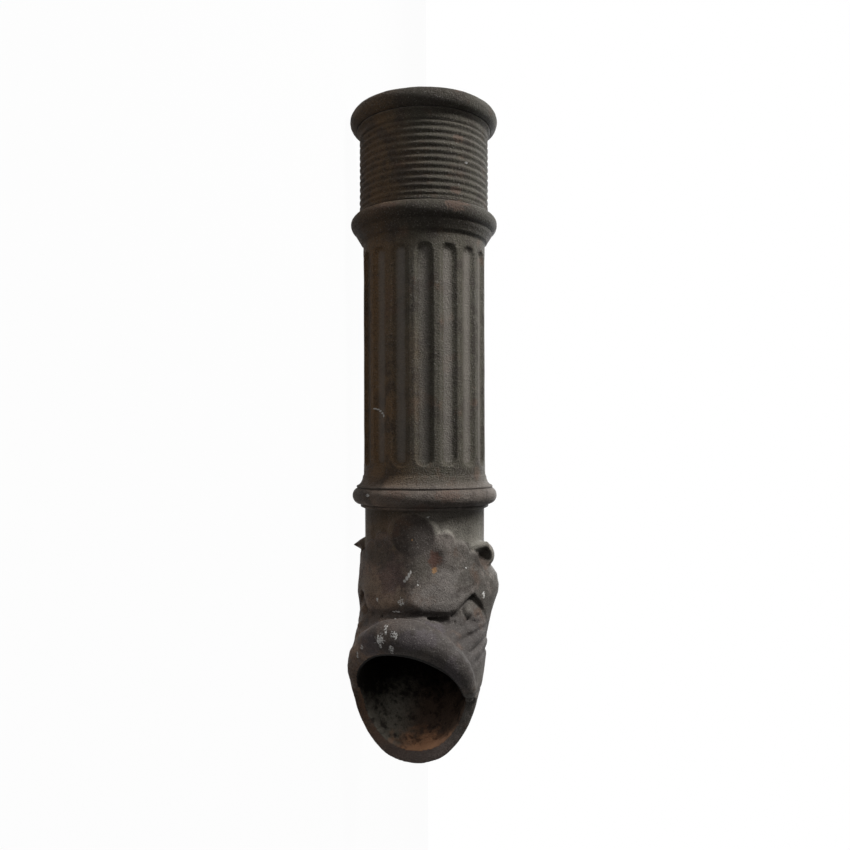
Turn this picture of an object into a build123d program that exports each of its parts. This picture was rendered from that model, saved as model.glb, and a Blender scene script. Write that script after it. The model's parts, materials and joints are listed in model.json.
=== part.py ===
from build123d import *
from math import cos, pi, radians, sin
import os

# All sizes are millimetres. The casting is drawn with its pipe along Y, the socket towards +Y, and its face
# towards +Z, and is then laid down the way it comes to rest on a floor: on its side, propped by its lip.
# Heights run along the pipe from the middle of the lower ring, and radii are taken from the pipe's axis.

# Shaft, and the waterway through it
shaft_radius = 54.0
waterway_radius = 48.0
neck_radius = 53.0
flute_count = 16
flute_width = 15.0
flute_depth = 2.8
flute_low = 25.8
flute_high = 212.8

# Socket that takes the foot of a 100 mm downpipe
socket_bore_radius = 52.0
socket_shoulder = 246.0
socket_radius = 57.2
rim_height = 330.4
rim_radius = 65.4
rim_tube = 8.0
collar_height = 320.4
collar_width = 2.6
collar_radius = 58.6
rib_count = 11
rib_pitch = 5.77
rib_relief = 1.3
rib_first = 310.9

# Upper ring with its sloped underside, and lower ring with its hollow moulding and thin bead
ring_height = 238.9
ring_radius = 65.0
ring_tube = 7.7
ring_sides = 12
slope_low = 223.4
slope_high = 232.0
slope_low_radius = 55.6
slope_high_radius = 61.0
foot_ring_radius = 64.2
foot_ring_tube = 7.6
hollow_radius = 62.0
hollow_high = 17.6
hollow_depth = 8.5
hollow_steps = 3
foot_bead_height = -9.6
foot_bead_radius = 56.6
foot_bead_width = 3.4

# Throat: the waterway bends forward out of the pipe and ends in the mouth
bend_start = -75.0
bend_radius = 85.0
bend_turn = 62.0
mouth_run = 30.0
mouth_half_width = 42.0
mouth_half_height = 50.0
side_wall = 8.5
roof_wall = 8.0
chin_wall = 12.5
cheek_swell = 5.5
throat_stations = 6
mouth_overrun = 16.0

# Jaw rim: the side walls stop at the lip's ends, and the lower jaw ends in an upright face
jaw_face = 49.0
jaw_corner_height = -160.0
clear_of_head = 250.0

# Upper lip: a thick roll that arches over the mouth and thins towards its two ends
lip_end_height = -157.0
lip_end_forward = 56.0
lip_top_height = -107.0
lip_top_forward = 88.0
lip_half_width = 47.5
lip_thick = 15.0
lip_thin = 4.0
lip_reach = 100.0
lip_stations = 10
lip_sides = 10

# Forehead plate: its profile as heights and radii, and the round lobes of the crest along its upper edge,
# each as the turn from the face's middle line, the height and the lobe's radius
forehead_profile = ((-10.0, 54.4), (-32.0, 56.5), (-60.0, 60.0), (-86.0, 65.5), (-96.0, 63.5))
crest_out = 56.5
crest_lobes = ((0, -31.0, 20.0), (27, -38.0, 10.0), (42, -46.0, 9.5), (55, -55.0, 9.5), (69, -58.0, 9.5))
brow_half_width = 37.0
brow_corner_rise = 12.0
temple_half_width = 62.0

# Eyes, ear tips and gill lobes, the same on both sides
eye_turn = 51.0
eye_height = -97.0
eye_radius = 7.0
eye_out = 55.0
ear_outline = ((-34.0, -12.0), (-44.0, 14.0), (-60.0, 18.0), (-72.0, 2.0), (-62.0, -22.0), (-46.0, -28.0))
ear_out = 62.5
ear_taper = 32.0
gill_height = -82.0
gill_root_radius = 23.0
gill_top_radius = 8.0
gill_forward = -12.0
gill_out = 64.0
relief_root = 46.0

# How far the casting is rolled about the pipe's axis, from face up until its lip touches the floor
rest_roll = 100.4


def band(radius, low, high):
    return Pos(radius / 2, (low + high) / 2) * Rectangle(radius, high - low)


def round_ring(radius, tube, height):
    """A ring's round section, as a many-sided polygon with a flat outermost."""
    corner = tube / cos(pi / ring_sides)
    section = Pos(radius - tube, height) * Rot(Z=180 / ring_sides) * RegularPolygon(corner, ring_sides)
    return section + band(radius - tube, height - tube, height + tube)


def rib(crest):
    half = rib_pitch / 2
    valley = socket_radius - rib_relief
    outline = (
        (0, crest - half),
        (valley, crest - half),
        (socket_radius, crest),
        (valley, crest + half),
        (0, crest + half),
    )
    return make_face(Polyline(*outline, close=True))


def hollow_moulding():
    """The quarter-round hollow above the lower ring, as a few straight chords."""
    outline = [(0, hollow_high)]
    for step in range(hollow_steps + 1):
        angle = radians(90 * step / hollow_steps)
        radius = shaft_radius + hollow_depth * (1 - cos(angle))
        outline.append((min(radius, hollow_radius), hollow_high - hollow_depth * sin(angle)))
    outline += [(hollow_radius, 0), (0, 0)]
    return make_face(Polyline(*outline, close=True))


def pipe_outside():
    """The turned outside of socket, rings and shaft, as one revolved section."""
    ribbed_high = rib_first + rib_pitch / 2
    ribbed_low = ribbed_high - rib_count * rib_pitch
    slope = ((0, slope_low), (slope_low_radius, slope_low), (slope_high_radius, slope_high), (0, slope_high))
    section = band(socket_radius, ribbed_high, rim_height)
    section += [rib(rib_first - step * rib_pitch) for step in range(rib_count)]
    section += band(socket_radius, ring_height, ribbed_low)
    section += round_ring(rim_radius, rim_tube, rim_height)
    section += band(collar_radius, collar_height, collar_height + collar_width)
    section += round_ring(ring_radius, ring_tube, ring_height)
    section += make_face(Polyline(*slope, close=True))
    section += band(shaft_radius, 0, ring_height)
    section += hollow_moulding()
    section += round_ring(foot_ring_radius, foot_ring_tube, 0)
    section += band(foot_bead_radius, foot_bead_height - foot_bead_width / 2, 0)
    section += band(neck_radius, bend_start, 0)
    return revolve(section, Axis.Y)


def flutes():
    """Round-ended hollows, set so that the face's middle line falls on a land between two of them."""
    chord_sink = shaft_radius - (shaft_radius**2 - (flute_width / 2) ** 2) ** 0.5
    below_chord = flute_depth - chord_sink
    cutter_radius = ((flute_width / 2) ** 2 + below_chord**2) / (2 * below_chord)
    axis_out = shaft_radius - flute_depth + cutter_radius
    length = flute_high - flute_low
    hollow = Pos(0, (flute_low + flute_high) / 2, axis_out) * Rot(X=90) * Cylinder(cutter_radius, length)
    outline = Pos(0, (flute_low + flute_high) / 2) * SlotOverall(length, flute_width, rotation=90)
    cutter = hollow & extrude(outline, shaft_radius + flute_depth)
    pitch = 360 / flute_count
    return [Rot(Y=pitch * (step + 0.5)) * cutter for step in range(flute_count)]


def throat_plane(turn, run=0.0):
    """The plane square to the throat's centre line after a bend of turn degrees and a straight run."""
    angle = radians(turn)
    height = bend_start - bend_radius * sin(angle) - run * cos(angle)
    forward = bend_radius * (1 - cos(angle)) + run * sin(angle)
    return Plane(origin=(0, height, forward), x_dir=(1, 0, 0), z_dir=(0, -cos(angle), sin(angle)))


def throat(radius, half_width, front, back, swell):
    """A tube along the bend: round at its start, oval from the mouth on, and wider by swell half way."""
    bend_length = radians(bend_turn) * bend_radius
    sections = []
    for step in range(throat_stations + 1):
        share = step / throat_stations
        along = share * (bend_length + mouth_run)
        turn = min(along / bend_length, 1) * bend_turn
        run = max(along - bend_length, 0)
        width = radius + (half_width - radius) * share + swell * sin(pi * share)
        above = radius + (front - radius) * share
        below = radius + (back - radius) * share
        oval = Pos(0, (above - below) / 2) * Ellipse(width, (above + below) / 2)
        sections.append(throat_plane(turn, run) * oval)
    sections.append(throat_plane(turn, run + mouth_overrun) * oval)
    return loft(sections, ruled=True)


def throat_outside():
    front = mouth_half_height + roof_wall
    back = mouth_half_height + chin_wall
    return throat(neck_radius, mouth_half_width + side_wall, front, back, cheek_swell)


def in_front_of_mouth():
    """What is cut away so that the tube stops at the lip's arch and at the jaw's upright face."""
    rise = (lip_top_height - lip_end_height, lip_top_forward - lip_end_forward)
    outline = (
        (jaw_corner_height - clear_of_head, jaw_face),
        (jaw_corner_height, jaw_face),
        (lip_end_height, lip_end_forward),
        (lip_end_height + 2 * rise[0], lip_end_forward + 2 * rise[1]),
        (lip_end_height + 2 * rise[0], clear_of_head),
        (jaw_corner_height - clear_of_head, clear_of_head),
    )
    side_view = Plane(origin=(0, 0, 0), x_dir=(0, 1, 0), z_dir=(1, 0, 0))
    return extrude(side_view * make_face(Polyline(*outline, close=True)), 2 * rim_radius, both=True)


def upper_lip():
    """A many-sided roll that stands on an arch over the mouth and sinks into the jaw at both ends."""
    rise = (lip_top_height - lip_end_height, lip_top_forward - lip_end_forward)
    arch_height = (rise[0] ** 2 + rise[1] ** 2) ** 0.5
    facing = (0, -rise[1], rise[0])
    arch = Plane(origin=(0, lip_end_height, lip_end_forward), x_dir=(1, 0, 0), z_dir=facing)
    sections = []
    for step in range(lip_stations + 1):
        share = 2 * step / lip_stations - 1
        angle = radians(lip_reach * share)
        radius = lip_thick - (lip_thick - lip_thin) * share**2
        centre = (lip_half_width * sin(angle), arch_height * cos(angle), 0)
        along = (lip_half_width * cos(angle), -arch_height * sin(angle), 0)
        section = RegularPolygon(radius / cos(pi / lip_sides), lip_sides)
        sections.append(arch * Plane(origin=centre, x_dir=(0, 0, 1), z_dir=along) * section)
    return loft(sections, ruled=True)


def forehead():
    """The brow plate: a turned bulge, cut to the lobed outline that is seen from the front."""
    heights = [height for height, radius in forehead_profile]
    bulge = [(radius, height) for height, radius in forehead_profile]
    bulge += [(relief_root, min(heights)), (relief_root, max(heights))]
    turned = revolve(make_face(Polyline(*bulge, close=True)), Axis.Y)
    brow = min(heights)
    brow_corner = (temple_half_width, brow + brow_corner_rise)
    shoulder = (temple_half_width, crest_lobes[-1][1])
    right = [(brow_half_width, brow), brow_corner, shoulder]
    right += [(crest_out * sin(radians(turn)), height) for turn, height, radius in reversed(crest_lobes)]
    left = [(-across, height) for across, height in reversed(right)]
    shape = make_face(Polyline(*right, *left[1:], close=True))
    for turn, height, radius in crest_lobes:
        across = crest_out * sin(radians(turn))
        lobe = Ellipse(radius * cos(radians(turn)), radius)
        shape += [Pos(across, height) * lobe, Pos(-across, height) * lobe]
    return turned & extrude(shape, 2 * neck_radius)


def side_relief():
    """Eyes, ear tips and gill lobes."""
    ear_face = Plane.YZ.offset(relief_root) * make_face(Polyline(*ear_outline, close=True))
    ear = extrude(ear_face, ear_out - relief_root, taper=ear_taper)
    gill_depth = gill_out - relief_root
    gill_middle = Plane.YZ.offset(relief_root + gill_depth / 2) * Pos(gill_height, gill_forward)
    gill = gill_middle * Cone(gill_root_radius, gill_top_radius, gill_depth)
    turn = radians(eye_turn)
    eye = Pos(eye_out * sin(turn), eye_height, eye_out * cos(turn)) * Sphere(eye_radius)
    right = [ear, gill, eye]
    return right + [mirror(piece, Plane.YZ) for piece in right]


def socket_and_bore():
    section = band(socket_bore_radius, socket_shoulder, rim_height + 2 * rim_tube)
    section += band(waterway_radius, bend_start, socket_shoulder)
    return revolve(section, Axis.Y)


def outlet_casting():
    casting = pipe_outside() + throat_outside()
    casting += forehead()
    casting += side_relief()
    casting -= socket_and_bore()
    casting -= throat(waterway_radius, mouth_half_width, mouth_half_height, mouth_half_height, 0)
    casting -= in_front_of_mouth()
    casting += upper_lip()
    casting -= flutes()
    return Rot(Y=-rest_roll) * casting


os.makedirs("parts", exist_ok=True)
casting = outlet_casting()
box = casting.bounding_box()
casting = Pos(-box.center().X, -box.center().Y, -box.min.Z) * casting
export_step(casting, "parts/outlet_casting.step")
print("outlet_casting", casting.volume, casting.bounding_box().size, len(casting.solids()))
print("pipe axis at", -box.center().X, -box.center().Y, -box.min.Z)
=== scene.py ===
import json
from math import cos, pi, radians, sin
import bpy
import numpy as np
import openvdb
from mathutils import Matrix, Vector, noise


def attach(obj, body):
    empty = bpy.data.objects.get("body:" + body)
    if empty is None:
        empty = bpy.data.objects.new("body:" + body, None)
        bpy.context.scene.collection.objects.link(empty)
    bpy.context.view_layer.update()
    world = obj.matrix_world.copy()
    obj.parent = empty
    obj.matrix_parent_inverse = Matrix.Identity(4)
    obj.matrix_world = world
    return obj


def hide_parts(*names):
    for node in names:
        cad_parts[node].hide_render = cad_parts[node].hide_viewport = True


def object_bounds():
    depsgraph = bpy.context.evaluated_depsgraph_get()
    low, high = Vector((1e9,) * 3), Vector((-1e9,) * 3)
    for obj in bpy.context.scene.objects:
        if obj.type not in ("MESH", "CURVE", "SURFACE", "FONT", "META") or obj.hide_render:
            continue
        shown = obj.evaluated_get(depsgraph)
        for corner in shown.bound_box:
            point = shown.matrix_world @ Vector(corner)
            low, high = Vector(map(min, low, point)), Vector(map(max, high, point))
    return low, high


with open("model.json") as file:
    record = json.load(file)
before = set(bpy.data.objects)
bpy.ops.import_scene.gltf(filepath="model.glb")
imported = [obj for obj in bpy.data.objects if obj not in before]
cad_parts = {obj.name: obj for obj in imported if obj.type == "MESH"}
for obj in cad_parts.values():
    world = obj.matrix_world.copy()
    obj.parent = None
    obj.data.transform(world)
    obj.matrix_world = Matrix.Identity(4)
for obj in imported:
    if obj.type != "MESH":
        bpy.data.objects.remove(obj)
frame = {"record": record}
cad_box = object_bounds()


# CAMERA
# The casting was photographed square to its pipe, a little above the lower ring, from 0.72 m away. Here it
# lies on its side, so the camera does too: the socket is up in the picture and the floor is at the left.
roll = radians(100.4)
mount = frame["record"]["mounts"][0]["pos_m"]
across = Vector((cos(roll), 0, sin(roll)))
along = Vector((0, 1, 0))
facing = Vector((-sin(roll), 0, cos(roll)))
rim_above_ring = 0.3384
ring_middle = Vector((mount[0], cad_box[1][1] - rim_above_ring, mount[2]))
casting_place = Matrix((across, along, facing)).transposed().to_4x4()
casting_place.translation = ring_middle
view_turn = radians(11.25)
view_rise, view_distance, view_tilt = 0.0389, 0.720, radians(-0.15)
view_right = across * cos(view_turn) - facing * sin(view_turn)
view_back = facing * cos(view_turn) + across * sin(view_turn)
camera_place = Matrix((view_right, along, view_back)).transposed().to_4x4()
camera_place.translation = ring_middle + along * view_rise + view_back * view_distance
camera = bpy.data.objects.new("camera", bpy.data.cameras.new("camera"))
camera.data.sensor_width = 36
camera.data.lens = 34.09
camera.data.shift_x = 0.0006
camera.data.shift_y = 0.0308
camera.matrix_world = camera_place @ Matrix.Rotation(view_tilt, 4, "Z")
bpy.context.collection.objects.link(camera)
bpy.context.scene.camera = camera


# PIPE
# Socket, rings and fluted shaft are turned round one axis, so the pattern was made on a lathe and the flutes
# were cut into it afterwards. Sizes are millimetres: heights run from the lower ring's middle to the rim.
shaft_radius = 54.0
bore_radius = 48.0
socket_bore = 52.0
socket_shoulder = 246.0
socket_radius = 57.0
rim_height, rim_radius, rim_tube = 330.4, 65.4, 8.0
ring_height, ring_radius, ring_tube = 238.9, 65.0, 7.7
foot_radius, foot_tube = 64.2, 7.6
rib_count, rib_pitch, rib_first, rib_relief = 11, 5.77, 310.9, 1.6
flute_count, flute_width, flute_depth = 16, 15.0, 3.4
flute_low, flute_high = 25.8, 212.8


def arc(middle_height, middle_radius, tube, start, end, steps):
    """Points on a round section, from start to end degrees: 0 is outwards and 90 is towards the rim."""
    turns = [radians(start + (end - start) * step / steps) for step in range(steps + 1)]
    return [(middle_height + tube * sin(turn), middle_radius + tube * cos(turn)) for turn in turns]


def straight(start, end, steps):
    """Points in a straight line, as heights and radii."""
    rise, spread = end[0] - start[0], end[1] - start[1]
    return [(start[0] + rise * step / steps, start[1] + spread * step / steps) for step in range(steps + 1)]


outside = arc(rim_height, rim_radius - rim_tube, rim_tube, 150, -80, 18)
outside += arc(321.9, 58.0, 1.4, 60, -60, 4)
outside += straight((319.4, socket_radius), (rib_first + rib_pitch * 0.6, socket_radius), 3)
for rib in range(rib_count):
    for step in range(6):
        turn = (step - 3) / 6
        swell = rib_relief * (0.5 * cos(2 * pi * turn) - 0.4)
        outside.append((rib_first - rib * rib_pitch - rib_pitch * turn, socket_radius + swell))
ribs_end = rib_first - rib_count * rib_pitch + rib_pitch * 0.4
outside += straight((ribs_end, socket_radius), (ring_height + 8.6, socket_radius), 3)
outside += [(ring_height + 7.6, socket_radius - 0.9)]
outside += arc(ring_height, ring_radius - ring_tube, ring_tube, 78, -64, 14)
outside += [(231.6, 60.2)] + straight((230.6, 60.4), (224.6, 56.6), 3)
outside += [(223.6, 56.2), (223.0, 55.0), (222.3, 54.2)]
outside += straight((221.0, shaft_radius), (flute_high + 1, shaft_radius), 3)
outside += straight((flute_high, shaft_radius), (flute_high - 8, shaft_radius), 8)
outside += straight((flute_high - 12, shaft_radius), (flute_low + 12, shaft_radius), 14)
outside += straight((flute_low + 8, shaft_radius), (flute_low, shaft_radius), 8)
outside += straight((flute_low - 1, shaft_radius), (19.2, shaft_radius), 2)
outside += [(18.3, 54.1), (17.5, 54.7), (16.6, 55.0)]
outside += [(17.1 - 8.6 * sin(turn), 55.0 + 6.6 * (1 - cos(turn))) for turn in np.radians([20, 40, 60, 80])]
outside += [(7.4, 60.6)]
outside += arc(0, foot_radius - foot_tube, foot_tube, 66, -70, 13)
outside += arc(-9.0, 55.4, 1.5, 50, -70, 5)
outside += [(-11.4, 53.4), (-12.0, 52.0), (-14.0, 51.0)]
inside = [(-14.0, 49.0), (-13.0, bore_radius)]
inside += straight((-8.0, bore_radius), (socket_shoulder - 2, bore_radius), 8)
inside += [(socket_shoulder - 0.6, 48.5), (socket_shoulder, 49.5), (socket_shoulder, 51.2)]
inside += [(socket_shoulder + 0.8, socket_bore)]
inside += straight((252.0, socket_bore), (rim_height + 4.6, socket_bore), 5)
inside += [(rim_height + 6.6, 52.5), (rim_height + 7.7, 53.9), (rim_height + 8.0, 55.6)]
section = np.array(outside + inside)

flute_shares = (0.0, 0.07, 0.13, 0.16, 0.22, 0.31, 0.42, 0.58, 0.69, 0.78, 0.84, 0.87, 0.93)
spokes = flute_count * len(flute_shares)
flute_pitch = 2 * pi / flute_count
in_flutes = [flute + share for flute in range(flute_count) for share in flute_shares]
spoke_turn = np.array(in_flutes) * flute_pitch
heights, radii = section[:, 0][:, None], section[:, 1][:, None] + np.zeros(spokes)
from_flute = (spoke_turn / flute_pitch) % 1 - 0.5
beyond = np.abs(heights - (flute_low + flute_high) / 2) - (flute_high - flute_low - flute_width) / 2
from_middle = np.hypot(from_flute * flute_pitch * shaft_radius, np.maximum(beyond, 0)) / (flute_width / 2)
hollow = flute_depth * np.clip(1.02 - from_middle**2, 0, 1) ** 0.62
is_outside = (np.arange(len(section)) < len(outside))[:, None]
radii = radii - np.where(is_outside & (beyond < flute_width / 2 + 1), hollow, 0)
pipe_points = [radii * np.sin(spoke_turn), heights + 0 * radii, radii * np.cos(spoke_turn)]
pipe_points = np.stack(pipe_points, axis=-1)
row = np.arange(len(section))[:, None]
spoke = np.arange(spokes)[None, :]
next_row = (row + 1) % len(section)
next_spoke = (spoke + 1) % spokes
pipe_faces = np.stack([row * spokes + spoke, next_row * spokes + spoke,
                       next_row * spokes + next_spoke, row * spokes + next_spoke], axis=-1).reshape(-1, 4)
pipe_mesh = bpy.data.meshes.new("pipe")
pipe_mesh.from_pydata(pipe_points.reshape(-1, 3).tolist(), [], pipe_faces.tolist())
pipe = bpy.data.objects.new("pipe", pipe_mesh)
bpy.context.collection.objects.link(pipe)


# HEAD
# The dolphin's head is a bent tube with a face modelled on it in wax or wood. Each form below is a distance
# to its surface in millimetres, less than nothing inside, and forms join in a soft or a sharp corner.
voxel = 1.0
reach = ((-74, 74), (-228, -4), (-70, 112))
axes = [np.arange(low, high + voxel / 2, voxel, dtype=np.float32) for low, high in reach]
side, height, forward = np.meshgrid(*axes, indexing="ij")


def soft_min(first, second, blend):
    """Two forms joined into one, with a fillet as wide as blend."""
    overlap = np.clip(0.5 + 0.5 * (second - first) / blend, 0, 1)
    return second * (1 - overlap) + first * overlap - blend * overlap * (1 - overlap)


def soft_max(first, second, blend):
    """What two forms share. With the second turned round, it is cut out of the first."""
    return -soft_min(-first, -second, blend)


def ball(x, y, f, rx, ry, rf):
    """An egg at x, y, f with half-axes rx, ry, rf."""
    near = np.sqrt(((side - x) / rx) ** 2 + ((height - y) / ry) ** 2 + ((forward - f) / rf) ** 2)
    slope = np.sqrt(((side - x) / rx**2) ** 2 + ((height - y) / ry**2) ** 2 + ((forward - f) / rf**2) ** 2)
    return near * (near - 1) / np.maximum(slope, 1e-4)


def rod(start, end, start_radius, end_radius):
    """A round rod between two points, with round ends."""
    run = [b - a for a, b in zip(start, end)]
    length = sum(part * part for part in run)
    share = (side - start[0]) * run[0] + (height - start[1]) * run[1] + (forward - start[2]) * run[2]
    share = np.clip(share / length, 0, 1)
    away = (side - start[0] - share * run[0]) ** 2
    away += (height - start[1] - share * run[1]) ** 2
    away += (forward - start[2] - share * run[2]) ** 2
    return np.sqrt(away) - (start_radius + (end_radius - start_radius) * share)


bend_start, bend_radius, bend_turn, mouth_run = -75.0, 85.0, radians(62), 30.0


def along_throat(height, forward):
    """How far down the throat a point lies, from 0 at the bend to 1 at the mouth, and how far above it."""
    turned = np.arctan2(bend_start - height, bend_radius - forward)
    past = height - bend_start + bend_radius * sin(bend_turn)
    out = forward - bend_radius * (1 - cos(bend_turn))
    bent = turned < bend_turn
    beyond = bend_radius * bend_turn - past * cos(bend_turn) + out * sin(bend_turn)
    run = np.where(bent, bend_radius * turned, beyond)
    in_bend = bend_radius - np.hypot(height - bend_start, forward - bend_radius)
    above = np.where(bent, in_bend, past * sin(bend_turn) + out * cos(bend_turn))
    run = np.where(height > bend_start, bend_start - height, run)
    above = np.where(height > bend_start, forward, above)
    return np.clip(run / (bend_radius * bend_turn + mouth_run), 0, 1), above


share, above = along_throat(height, forward)


def tube(radius, half_width, front, back, swell, squareness):
    """The throat's surface, round at the bend and oval at the mouth."""
    wide = radius + (half_width - radius) * share + swell * np.sin(pi * share)
    tall = radius + (np.where(above > 0, front, back) - radius) * share
    power = 2 + squareness * share
    near = (np.abs(side / wide) ** power + np.abs(above / tall) ** power) ** (1 / power)
    slope = np.sqrt((side / wide**2) ** 2 + (above / tall**2) ** 2) / np.maximum(near, 1e-4)
    return (near - 1) / np.maximum(slope, 1e-4)


aside = np.abs(np.degrees(np.arctan2(side, forward)))
from_axis = np.hypot(side, forward)


def ease(value, low, high):
    """A smooth step from 0 at low to 1 at high."""
    part = np.clip((value - low) / (high - low), 0, 1)
    return part * part * (3 - 2 * part)


def heights_to_radii(*pairs):
    """A turned profile, given as pairs of height and radius from the chin up."""
    return np.interp(height, [pair[0] for pair in pairs], [pair[1] for pair in pairs]).astype(np.float32)


throat_shape = (48.3, 42.5, 50.0, 50.0, 0, 0.1)
mouth_shape = (48.3, 43.0, 46.4, 50.0, 0, 0.1)
head = tube(53.0, 50.5, 58.0, 62.5, 5.5, 0.2)

# Hood: forehead in front and gill covers at the sides, ending upwards in a crest of round lobes
brow_front = heights_to_radii(
    (-112, 56), (-101, 59), (-97, 62.5), (-92, 65.2), (-86, 65.8), (-60, 60.3), (-32, 56.6), (-8, 55)
)
brow_side = heights_to_radii((-130, 54), (-112, 56), (-86, 59), (-60, 57.5), (-46, 57.5), (-8, 55.5))
gill = heights_to_radii((-122, 0), (-104, 2.0), (-92, 5.2), (-80, 7.2), (-70, 6.2), (-64, 2.5), (-60, 0))
front_share = 1 - ease(aside, 30, 62)
hood_radius = brow_side + (brow_front - brow_side) * front_share
hood_radius += gill * np.exp(-((aside - 100) / 24) ** 2) * np.where(side > 0, 1.0, 0.3)
hood = from_axis - hood_radius
arc_out = aside * pi / 180 * shaft_radius
crest_line = (
    (0, -31), (27, -38), (41, -46), (55, -56), (69, -60), (85, -54), (100, -60), (115, -66), (135, -80)
)
crest = height - np.interp(arc_out, *zip(*crest_line)).astype(np.float32)
for lobe_out, lobe_height, lobe_radius in (
    (-3, -30, 16.5), (5, -30, 17), (27, -37, 9.5), (41, -46, 9), (54, -55, 9),
    (68, -58, 9), (84, -53, 8.5), (99, -60, 9), (114, -67, 9)
):
    crest = soft_min(crest, np.hypot(arc_out - lobe_out, height - lobe_height) - lobe_radius, 1.5)
brow_line = ((0, -97), (24, -97), (32, -98.5), (38, -98), (47, -87), (56, -82), (66, -92), (90, -120))
crest = soft_max(crest, np.interp(aside, *zip(*brow_line)).astype(np.float32) - height, 3.0)
hood = soft_max(hood, crest, 3.0)
gills_end = 132
hood = soft_max(hood, aside - gills_end, 6.0)
head = soft_min(head, hood, 2.5)
head = soft_min(head, rod((1, -34, 49), (2, -84, 58.5), 7, 9), 9)

# Upper lip: a roll that arches over the mouth and thins towards both ends
mouth_height, mouth_forward = -157, 56
lip_rise, lip_reach, lip_slant = 50, 32, 59.4
lip = None
lip_points = []
for step in range(25):
    turn = radians(-91 + 177 * step / 24)
    share_out = abs(turn) / radians(98)
    lean = (48.5 if turn > 0 else 46.5) * sin(turn)
    thick = 15 - (11.2 * share_out**2.2 if turn > 0 else 12 * share_out**1.2)
    lip_height = mouth_height + lip_rise * cos(turn) - 0.07 * lean - 1.0
    lip_points.append((lean - 1.0, lip_height, mouth_forward + lip_reach * cos(turn), thick))
for start, end in zip(lip_points, lip_points[1:]):
    stretch = rod(start[:3], end[:3], start[3], end[3])
    lip = stretch if lip is None else np.minimum(lip, stretch)

# Mouth: the tube ends at the lip, creases part brow and lip, and the throat is bored out last
lip_plane = -(height - mouth_height) * lip_reach + (forward - mouth_forward) * lip_rise
lip_plane = lip_plane / lip_slant
head = soft_max(head, np.minimum(lip_plane, forward - 49), 3.0)
head = soft_max(head, -rod((-24, -98.5, 58), (-8, -98.5, 63.5), 1.0, 1.2), 2)
head = soft_max(head, -rod((6, -98, 64.5), (26, -99.5, 58.5), 1.2, 2.2), 2)
head = soft_max(head, -ball(30, -100, 58, 7, 3.0, 4), 2.5)
head = soft_max(head, -rod((33, -97.5, 52.5), (46.5, -84, 40), 1.0, 0.7), 1.2)
head = soft_min(head, lip, 1.4)
throat = np.where(forward > 45, tube(*mouth_shape), tube(*throat_shape))
head = soft_max(head, -throat, 2.5)

# Eyes and cheeks, then the cupped ear on one side and the broken spike of the other
for mirror in (-1, 1):
    head = soft_min(head, ball(43.5 * mirror, -110, 41.5, 6.5, 5.5, 8), 2.5)
    head = soft_min(head, ball(45.5 * mirror, -119.5, 39.5, 6.5, 5, 9), 2.5)
    head = soft_min(head, ball(47.5 * mirror, -131, 38, 7, 6.5, 13), 4)
    socket_depth = 4.2 if mirror > 0 else 2.2
    head = soft_max(head, -ball(46.5 * mirror, -94.5, 42, 6.2, 5.0, socket_depth), 3)
    head = soft_min(head, ball(43.0 * mirror, -96.5, 37.5, 5.5, 5.5, 6.5), 1.8)
head = soft_min(head, ball(54.5, -52, 2, 8.2, 10.5, 13), 3)
head = soft_min(head, rod((44, -43, 27), (56, -42.5, 10), 2.6, 3.0), 3)
head = soft_max(head, -ball(56.5, -52, 16, 6.6, 7.8, 10), 1.4)
head = soft_min(head, rod((-50, -45, 0), (-67, -46.5, -5), 9.0, 0.9), 2.5)

# What the modeller's tool pressed in, or raised, seen from the front
marks = np.zeros_like(head)
for start, end, width, depth in (
    ((-29, -87), (-29, -86), 6, 1.6), ((-9, -47), (-10, -70), 6, 1.1), ((-6, -86), (-6, -81), 4.5, 0.9),
    ((19.5, -48), (19.5, -56), 5, 1.5), ((-24, -46), (-36, -60), 7, 0.9), ((33, -64), (40, -76), 7, 0.7),
    ((34, -96.5), (47, -83), 1.8, 1.2), ((-33, -97), (-47, -83), 2.4, 1.0), ((51, -90), (53, -97), 1.8, 0.6),
    ((35.2, -101.8), (35.2, -101.8), 1.3, 1.6), ((43.9, -102.3), (43.9, -102.3), 1.3, 1.6),
    ((48.6, -104.2), (48.6, -104.2), 1.3, 1.6), ((50.9, -100.6), (50.9, -100.6), 1.3, 1.6),
    ((36, -105), (52, -106), 2.2, 0.7), ((41, -115), (54, -112), 2.2, 1.5),
    ((50, -125), (58, -120), 2.0, 2.0), ((53, -134), (59, -129), 1.9, 1.6),
    ((43.5, -161), (52, -160.5), 1.5, 1.6),
    ((-37, -105), (-52, -106), 2.2, 0.9), ((-40, -118), (-53, -113), 3.0, 1.2),
    ((28, -52), (36, -58), 2.5, -0.5), ((12, -90), (26, -91), 5, -0.8), ((-8, -100), (10, -99), 3, -0.8)
):
    run = [b - a for a, b in zip(start, end)]
    length = max(run[0] ** 2 + run[1] ** 2, 0.01)
    x, y = side - start[0], height - start[1]
    share_along = np.clip((x * run[0] + y * run[1]) / length, 0, 1)
    away = np.hypot(x - share_along * run[0], y - share_along * run[1])
    marks += depth * np.exp(-(away / width) ** 2)
head = head + marks * (forward > 0) * (from_axis > 50)
head = soft_max(head, height + 4, 0.5)

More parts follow.
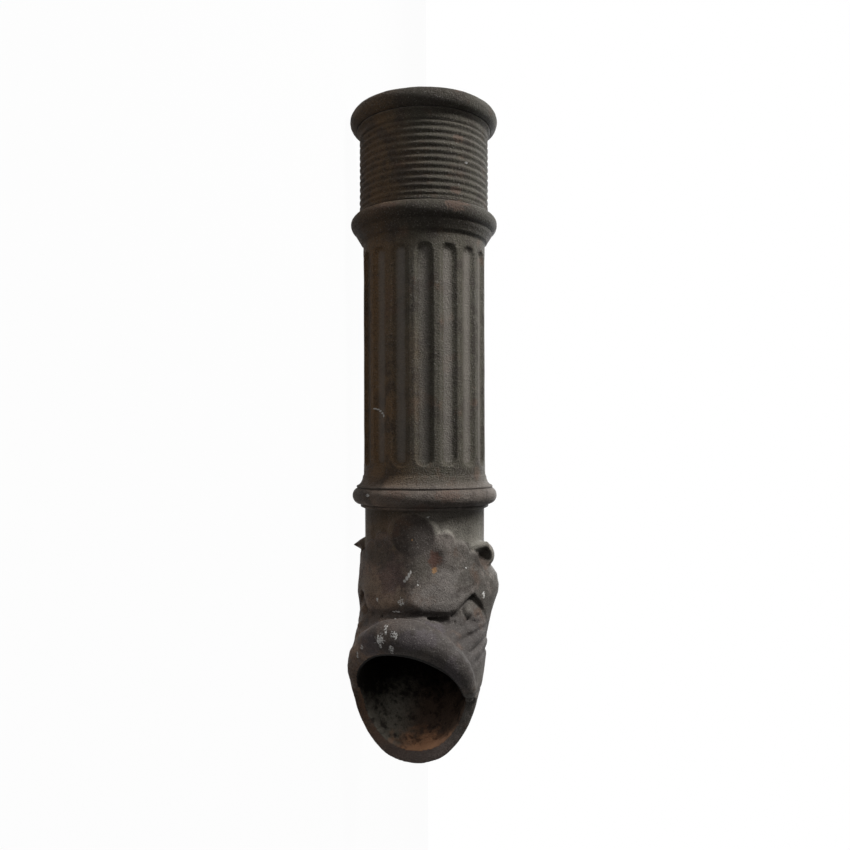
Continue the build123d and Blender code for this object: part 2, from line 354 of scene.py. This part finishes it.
grid = openvdb.FloatGrid()
grid.copyFromArray(np.ascontiguousarray(np.clip(head, -3, 3), dtype=np.float32))
corner_points, corner_triangles, corner_quads = grid.convertToPolygons(isovalue=0.0, adaptivity=0.0)
corner_points = corner_points * voxel + np.array([low for low, high in reach])
head_faces = corner_quads.tolist() + corner_triangles.tolist()
head_mesh = bpy.data.meshes.new("head")
head_mesh.from_pydata(corner_points.tolist(), [], head_faces)
head_piece = bpy.data.objects.new("head", head_mesh)
bpy.context.collection.objects.link(head_piece)
thin = head_piece.modifiers.new("thin", "DECIMATE")
thin.ratio = 0.285


# ONE CASTING
# Pipe and head were one pattern and are one pour of grey iron, so both are joined into a single skin. It was
# left as it came from the sand: dark and grainy, with brown rust on the weather side and a stain in the jaw.
join = pipe.modifiers.new("join", "BOOLEAN")
join.operation = "UNION"
join.solver = "MANIFOLD"
join.object = head_piece
joined = bpy.data.meshes.new_from_object(pipe.evaluated_get(bpy.context.evaluated_depsgraph_get()))
casting = bpy.data.objects.new("outlet_casting_iron", joined)
bpy.context.collection.objects.link(casting)
bpy.data.objects.remove(pipe)
bpy.data.objects.remove(head_piece)
joined.transform(casting_place @ Matrix.Scale(0.001, 4))
joined.shade_smooth()
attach(casting, "root")
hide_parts("outlet_casting")

# Sand leaves the skin of a casting uneven, the more so on the modelled head.
normals = np.empty(3 * len(joined.vertices), dtype=np.float32)
joined.vertices.foreach_get("normal", normals)
points = np.empty_like(normals)
joined.vertices.foreach_get("co", points)
neck_top = ring_middle.y - 0.012
pits, pit_scale = 0.00014, 210
lumps, lump_scale, more_on_head = 0.00022, 70, 2.6
unevenness = [
    pits * noise.noise(Vector(point) * pit_scale)
    + lumps * noise.noise(Vector(point) * lump_scale) * (1.0 if point[1] > neck_top else more_on_head)
    for point in points.reshape(-1, 3).tolist()
]
points += normals * np.repeat(np.array(unevenness, dtype=np.float32), 3)
points = np.clip(points.reshape(-1, 3), cad_box[0], cad_box[1])
joined.vertices.foreach_set("co", points.ravel())

# The wall of the waterway is painted dark as shade. Each point is told whether it lies there.
own = (points - np.array(ring_middle)) @ np.array((across, along, facing)).T * 1000
side, height, forward = own.T
share, above = along_throat(height, forward)
from_axis = np.hypot(side, forward)
from_wall = np.where(height < -8, tube(*throat_shape), from_axis - bore_radius)
wall = (np.abs(from_wall) < 2.2) & (height < 240) | (from_axis < 53) & (height > 240)
joined.attributes.new("waterway", "FLOAT", "POINT").data.foreach_set("value", wall.astype(np.float32))


def add_node(tree, kind, settings=None, inputs=None):
    """A node of a kind: its settings first, then the values or links of its sockets."""
    node = tree.nodes.new(kind)
    for name, setting in (settings or {}).items():
        setattr(node, name, setting)
    for name, item in (inputs or {}).items():
        connect(node.inputs[name], item)
    return node


def connect(socket, item):
    """Links a socket to another one, or sets its value."""
    if isinstance(item, Value):
        item = item.socket
    if isinstance(item, bpy.types.NodeSocket):
        socket.id_data.links.new(item, socket)
    else:
        socket.default_value = item


class Value:
    """One socket of a shader, for maths written as plain expressions."""

    def __init__(self, socket):
        self.socket = socket

    def maths(self, operation, *others):
        settings, inputs = {"operation": operation}, dict(enumerate((self, *others)))
        return Value(add_node(self.socket.id_data, "ShaderNodeMath", settings, inputs).outputs[0])

    def __add__(self, other):
        return self.maths("ADD", other)

    def __radd__(self, other):
        return self.maths("ADD", other)

    def __sub__(self, other):
        return self.maths("SUBTRACT", other)

    def __rsub__(self, other):
        return self.maths("MULTIPLY_ADD", -1.0, other)

    def __mul__(self, other):
        return self.maths("MULTIPLY", other)

    def __rmul__(self, other):
        return self.maths("MULTIPLY", other)

    def __pow__(self, other):
        return self.maths("POWER", other)

    def step(self, low, high):
        """0 below low, 1 above high, smooth between; high below low turns it round."""
        settings = {"interpolation_type": "SMOOTHSTEP"}
        inputs = {"Value": self, "From Min": low, "From Max": high}
        return Value(add_node(self.socket.id_data, "ShaderNodeMapRange", settings, inputs).outputs["Result"])

    def near(self, middle, reach):
        """1 at middle, falling to 0 at reach from it."""
        return (self - middle).maths("ABSOLUTE").step(reach, 0)


iron = bpy.data.materials.new("sand_cast_iron")
iron.use_nodes = True
iron_tree = iron.node_tree
shader = iron_tree.nodes["Principled BSDF"]
place = add_node(iron_tree, "ShaderNodeTexCoord").outputs["Object"]


def texture(scale, detail, roughness, offset=0.0):
    """A seeded noise over the casting, scale lumps to the metre."""
    shift = {0: place, 1: (offset, offset * 1.7, -offset)}
    moved = add_node(iron_tree, "ShaderNodeVectorMath", {"operation": "ADD"}, shift).outputs[0]
    inputs = {"Vector": moved, "Scale": scale, "Detail": detail, "Roughness": roughness}
    return Value(add_node(iron_tree, "ShaderNodeTexNoise", None, inputs).outputs["Fac"])


def mix(share, first, second):
    """First colour where share is 0, second where it is 1."""
    first, second = ((*item, 1) if isinstance(item, tuple) else item for item in (first, second))
    inputs = {0: share, 6: first, 7: second}
    return add_node(iron_tree, "ShaderNodeMix", {"data_type": "RGBA"}, inputs).outputs[2]


def measured(direction):
    """Millimetres from the middle of the lower ring, along one of the casting's own directions."""
    ends = {0: place, 1: tuple(ring_middle)}
    from_ring = add_node(iron_tree, "ShaderNodeVectorMath", {"operation": "SUBTRACT"}, ends).outputs[0]
    parts = {0: from_ring, 1: tuple(direction)}
    metres = add_node(iron_tree, "ShaderNodeVectorMath", {"operation": "DOT_PRODUCT"}, parts)
    return Value(metres.outputs["Value"]) * 1000


lateral = measured(across)
tall = measured(along)
front = measured(facing)

facing_out = front.step(-6, 12)
broad = texture(14, detail=4, roughness=0.6)
middling = texture(55, detail=4, roughness=0.6, offset=3.1)
clouds = texture(120, detail=5, roughness=0.65, offset=5.7)
flecks = texture(330, detail=4, roughness=0.7, offset=2.2)
grain = texture(720, detail=2, roughness=0.7, offset=7.3)
sand = texture(1700, detail=1, roughness=0.5, offset=1.9)


def openness(reach, inside):
    """1 where the skin is open all round, less in a corner or, felt from inside, at an edge."""
    settings = {"samples": 8, "only_local": True, "inside": inside}
    feeler = add_node(iron_tree, "ShaderNodeAmbientOcclusion", settings, {"Distance": reach})
    return Value(feeler.outputs["AO"])


corners = openness(0.007, False)
edges = openness(0.004, True)
told = add_node(iron_tree, "ShaderNodeAttribute", {"attribute_name": "waterway"})
in_waterway = Value(told.outputs["Fac"])


def blots(places, ragged=0.8, torn_by=clouds, rim=(1.5, 0.6)):
    """1 on the front inside any ragged oval, given as side, height, half-width and half-height."""
    total = None
    for x, y, half_width, half_height in places:
        squared = ((lateral - x) * (1 / half_width)) ** 2 + ((tall - y) * (1 / half_height)) ** 2
        inside = (squared + (torn_by - 0.5) * 4 * ragged).step(*rim)
        total = inside if total is None else total.maths("MAXIMUM", inside)
    return total * facing_out


# Bare iron: browner on the weather side, darker up the socket and on rim and upper ring, greyer at the right
on_head = tall.step(8, -14)
weather_side = (lateral + (broad - 0.5) * 60).step(14, -42)
colour = mix(weather_side, (0.058, 0.053, 0.041), (0.130, 0.078, 0.040))
colour = mix(tall.step(150, 290) * 0.25, colour, (0.018, 0.015, 0.011))
on_rings = tall.near(336, 22) * 0.55 + tall.near(234, 20) * 0.66
colour = mix(on_rings, colour, (0.012, 0.009, 0.007))
colour = mix((lateral + (broad - 0.5) * 20).step(42, 60) * 0.5, colour, (0.082, 0.080, 0.070))
colour = mix(on_head, colour, mix(weather_side, (0.108, 0.094, 0.083), (0.215, 0.148, 0.108)))
sheltered_cheek = on_head * (lateral + (broad - 0.5) * 40).step(18, 46)
colour = mix(sheltered_cheek * 0.6, colour, (0.046, 0.045, 0.039))
colour = mix(tall.near(4, 18) * 0.75, colour, (0.105, 0.087, 0.076))

# Mottling, coarse to fine
colour = mix(middling.step(0.48, 0.66) * 0.6, colour, (0.030, 0.024, 0.021))
colour = mix(clouds.step(0.52, 0.66) * on_head * 0.45, colour, (0.036, 0.030, 0.028))
colour = mix(clouds.step(0.47, 0.34) * on_head * 0.50, colour, (0.150, 0.128, 0.116))
colour = mix(flecks.step(0.53, 0.68) * 0.45, colour, (0.022, 0.018, 0.015))

# The crest: a dark plate of round lobes, with painted shade along its left rim and a painted highlight along
# its right rim, over a brown and grey neck
neck = mix(lateral.step(-30, 20), (0.082, 0.055, 0.030), (0.136, 0.128, 0.108))
lobes = [(1, -31, 17.5, 17), (-26, -38, 9.5, 9.5), (26, -38, 9.5, 9.5), (-37, -46, 9, 10), (37, -46, 9, 10),
         (0, -64, 60, 21), (-46, -56, 10, 11), (46, -56, 10, 11)]
plate = blots(lobes, 0.05, clouds, (1.14, 0.94))
on_neck = (1.0 - plate) * facing_out * tall.step(-70, -60) * tall.step(-8, -12)
colour = mix(on_neck * 0.7, colour, neck)
colour = mix(plate * tall.step(-60, -50) * lateral.step(-6, -22) * 0.45, colour, (0.034, 0.026, 0.024))
# The plate's rim is painted dark on the left as shade and pale on the right as a highlight
plate_rim_light_and_shade = (plate - blots(lobes, 0.05, clouds, (0.94, 0.66))) * tall.step(-58, -50)
colour = mix(plate_rim_light_and_shade * lateral.step(-14, -24) * 0.5, colour, (0.022, 0.016, 0.013))
colour = mix(plate_rim_light_and_shade * lateral.step(17, 24) * 0.35, colour, (0.170, 0.158, 0.138))
middle_lobe = blots([(1, -31, 18.5, 18)], 0.15, clouds, (1.1, 0.8))
lobe_soot = middle_lobe * (tall + (clouds - 0.5) * 30).step(-58, -34)
colour = mix(lobe_soot * 0.75, colour, (0.014, 0.011, 0.010))

# Broad stains on forehead, lip, cheek and jaw, a painted shadow of the lower ring on the neck, and pale
# brown on brow and chin
for places, ragged, strength, stain in (
    ([(8, -48, 18, 12)], 0.9, 0.5, (0.026, 0.021, 0.019)),
    ([(0, -104, 44, 16), (42, -122, 20, 26)], 0.5, 0.7, (0.034, 0.030, 0.029)),
    ([(-16, -64, 11, 16)], 1.3, 0.6, (0.056, 0.036, 0.038)),
    ([(-31, -50, 14, 9), (10, -60, 9, 12)], 1.3, 0.5, (0.052, 0.047, 0.038)),
    ([(22, -82, 20, 11), (30, -66, 8, 8)], 1.4, 0.4, (0.128, 0.118, 0.110)),
    ([(12, -107, 16, 7), (-26, -112, 9, 9), (38, -136, 6, 14)], 1.3, 0.5, (0.066, 0.057, 0.063)),
    ([(-41, -173, 6, 22), (-30, -200, 10, 8)], 1.3, 0.6, (0.190, 0.105, 0.062))
):
    colour = mix(blots(places, ragged) * strength, colour, stain)
# Painted shadow that the lower ring casts on the neck below it, stronger on the left
painted_ring_shadow = tall.step(-30, -13) * tall.step(-8, -12) * (lateral.step(4, -30) * 0.45 + 0.3)
colour = mix(painted_ring_shadow, colour, (0.028, 0.019, 0.012))
pale_brow = blots([(-38, -74, 12, 8), (-22, -86, 10, 4), (-8, -78, 5, 6)], 1.4)
colour = mix(pale_brow * 0.55, colour, (0.230, 0.170, 0.125))
colour = mix(tall.near(-215, 30) * on_head * 0.6, colour, (0.170, 0.130, 0.115))

# Thin rust, bright and dark grains of sand, dirt with painted shade in the corners and hollows, and bare
# metal on the edges
rust = texture(38, detail=5, roughness=0.65, offset=11.7).step(0.56, 0.70) * 0.4
colour = mix(rust, colour, (0.095, 0.055, 0.036))
colour = mix(grain.step(0.54, 0.80) * 0.6, colour, (0.20, 0.187, 0.170))
colour = mix(sand.step(0.50, 0.34) * 0.7, colour, (0.014, 0.011, 0.009))
# Darker where the skin is hemmed in, in corners, creases and flutes: dirt together with painted shade
dirt_and_shade_in_corners = (corners + middling * 0.2).step(0.92, 0.45) * (0.9 - on_head * 0.35)
colour = mix(dirt_and_shade_in_corners, colour, (0.012, 0.010, 0.009))
colour = mix(edges.step(0.85, 0.45) * (0.5 - on_head * 0.2), colour, (0.155, 0.140, 0.125))

# Rust in pinkish blotches, one deep red pit beside the ridge, painted shade in the cup of the ear and orange
# specks
pink = [(37, 242, 8, 5), (36, 256, 4, 3), (38, 300, 4, 3), (39, 339, 3, 4), (-20, 242, 12, 3),
        (8, -8, 8, 3), (30, 2, 9, 5), (-12, 3, 9, 4)]
colour = mix(blots(pink, 1.8, flecks) * 0.45, colour, (0.085, 0.053, 0.040))
red_pit = blots([(19, -51, 5.0, 7)], 1.4)
colour = mix(red_pit * 0.6, colour, (0.060, 0.026, 0.018))
# Painted shade inside the hollow cup of the ear
painted_ear_shade = blots([(54, -53, 5, 8)], 0.4)
colour = mix(painted_ear_shade * 0.6, colour, (0.024, 0.019, 0.016))
orange_specks = blots([(19.3, -59, 2.2, 2.0), (1, -34, 0.6, 1.0)], 1.6, flecks)
colour = mix(orange_specks * 0.7, colour, (0.210, 0.115, 0.050))

# Chips and a scratch down to pale scale, and a pale fibre caught on the shaft
chips = [(-15.8, -107.7, 3.0, 4.5), (-6.4, -114.7, 1.6, 2.8), (-4, -102.7, 2.4, 2.6),
         (-11.3, -99.7, 1.4, 2.6), (-32.5, -115.3, 1.2, 1.6), (-37.6, -123.5, 1.0, 2.2),
         (-11, -92.5, 4.5, 0.7), (-6.5, -83.9, 2.0, 3.0), (-29.2, -84, 1.3, 1.6), (6.8, -68.9, 0.7, 2.0),
         (13.4, -15.9, 1.4, 0.9), (43.6, -58.5, 0.9, 0.7), (55.6, -83.8, 0.9, 2.6), (-38.5, 2, 1.8, 1.1),
         (44, 281, 1.0, 0.6), (38, 262, 0.6, 0.5)]
colour = mix(blots(chips, 2.4, flecks) * grain.step(0.40, 0.54) * 0.85, colour, (0.52, 0.51, 0.49))
scratch = [(0.8, -60, 0.8, 1.6), (-0.6, -62.4, 1.1, 2.0), (-2.2, -65, 1.3, 1.9), (-4.2, -67.4, 1.4, 1.1)]
fibre = [(-35, 75.3, 1.6, 0.6), (-32.4, 74.6, 1.5, 0.6), (-30, 73.2, 1.3, 0.7), (-28, 71.3, 1.0, 0.9),
         (-26.6, 69, 0.8, 1.2)]
colour = mix(blots(scratch + fibre, 0.5, flecks) * 0.75, colour, (0.46, 0.45, 0.43))

# Inside, the wall of the waterway is painted dark and the top of the throat black, both as shade, and orange
# rust has run down to the bottom of the jaw
inside_head = in_waterway * tall.step(-30, -90)
# Painted shade: the whole wall of the waterway is darkened
colour = mix(in_waterway * 0.85, colour, (0.010, 0.008, 0.007))
# Painted shade: the throat above the mouth is painted black
painted_throat_shade = (tall + (clouds - 0.5) * 24 + (middling - 0.5) * 30).step(-190, -160)
silt = mix(lateral.step(4, -26), (0.095, 0.064, 0.047), (0.225, 0.205, 0.168))
silt = mix(clouds.step(0.46, 0.68) * 0.42, silt, (0.022, 0.015, 0.013))
silt = mix(flecks.step(0.50, 0.68) * 0.35, silt, (0.024, 0.017, 0.014))
jaw_rust = (tall + (middling - 0.5) * 40 - lateral * 0.2).step(-197, -210)
silt = mix(jaw_rust * (0.85 - lateral.step(12, 26) * 0.5), silt, (0.520, 0.270, 0.150))
silt = mix((clouds + flecks * 0.6).step(0.82, 0.96) * 0.6, silt, (0.022, 0.014, 0.011))
colour = mix(inside_head, colour, mix(painted_throat_shade, silt, (0.003, 0.0025, 0.002)))

# The skin is dull, and rough with sand, the more so on the socket
connect(shader.inputs["Base Color"], colour)
connect(shader.inputs["Roughness"], grain * 0.2 + 0.50)
shader.inputs["Specular IOR Level"].default_value = 0.06
fine = grain * 1.2 + sand * 0.5 + flecks * 0.6
coarseness = tall.step(222, 246) * 0.3 + 1.0 - on_head * 0.7
height_map = fine * coarseness + middling + clouds * (on_head * 0.1 + 0.3)
relief = {"Strength": 1.0, "Distance": 0.0013, "Height": height_map}
bump = add_node(iron_tree, "ShaderNodeBump", None, relief)
connect(shader.inputs["Normal"], bump.outputs["Normal"])
joined.materials.clear()
joined.materials.append(iron)


# FLOOR AND LIGHT
# A pale matt floor, a soft lamp above and beyond the socket, a weak wide one beside the camera and another
# behind the casting. To the camera and in mirrored light, floor and sky are close to plain white.
half = 6
floor_mesh = bpy.data.meshes.new("floor")
floor_corners = [(-half, -half, 0), (half, -half, 0), (half, half, 0), (-half, half, 0)]
floor_mesh.from_pydata(floor_corners, [], [(0, 1, 2, 3)])
floor = bpy.data.objects.new("floor", floor_mesh)
bpy.context.collection.objects.link(floor)
floor_paint = bpy.data.materials.new("pale_floor")
floor_paint.use_nodes = True
floor_tree = floor_paint.node_tree
paint = floor_tree.nodes["Principled BSDF"]
paint.inputs["Base Color"].default_value = (0.22, 0.22, 0.22, 1)
paint.inputs["Roughness"].default_value = 0.9
ray = add_node(floor_tree, "ShaderNodeLightPath").outputs
seen = Value(ray["Is Camera Ray"]).maths("MAXIMUM", Value(ray["Is Glossy Ray"]))
white = add_node(floor_tree, "ShaderNodeEmission").outputs[0]
blend = add_node(floor_tree, "ShaderNodeMixShader", None, {0: seen * 0.97, 1: paint.outputs[0], 2: white})
connect(floor_tree.nodes["Material Output"].inputs["Surface"], blend.outputs[0])
floor_mesh.materials.append(floor_paint)

lamp_places = (
    ("softbox", across * 0.95 + along * 1.08 + facing * 0.15, 0.42, 50),
    ("fill", across * 0.3 + along * 0.7 + facing * 1.2, 1.0, 3.6),
    ("back", across * 0.4 + along * 0.2 - facing * 1.3, 1.0, 9),
)
lit_place = ring_middle + along * 0.05
for name, away, size, watts in lamp_places:
    lamp = bpy.data.objects.new(name, bpy.data.lights.new(name, "AREA"))
    lamp.data.shape = "DISK"
    lamp.data.size = size
    lamp.data.energy = watts
    aim = away.to_track_quat("Z", "Y").to_matrix().to_4x4()
    lamp.matrix_world = Matrix.Translation(lit_place + away) @ aim
    bpy.context.collection.objects.link(lamp)

world = bpy.data.worlds.new("studio")
bpy.context.scene.world = world
world.use_nodes = True
sky = world.node_tree.nodes["Background"]
sky.inputs["Color"].default_value = (1, 1, 1, 1)
ray = add_node(world.node_tree, "ShaderNodeLightPath").outputs
seen = Value(ray["Is Camera Ray"]).maths("MAXIMUM", Value(ray["Is Transmission Ray"]))
seen = seen.maths("MAXIMUM", Value(ray["Is Glossy Ray"]))
connect(sky.inputs["Strength"], seen * 0.96 + 0.04)
bpy.context.scene.view_settings.view_transform = "Standard"
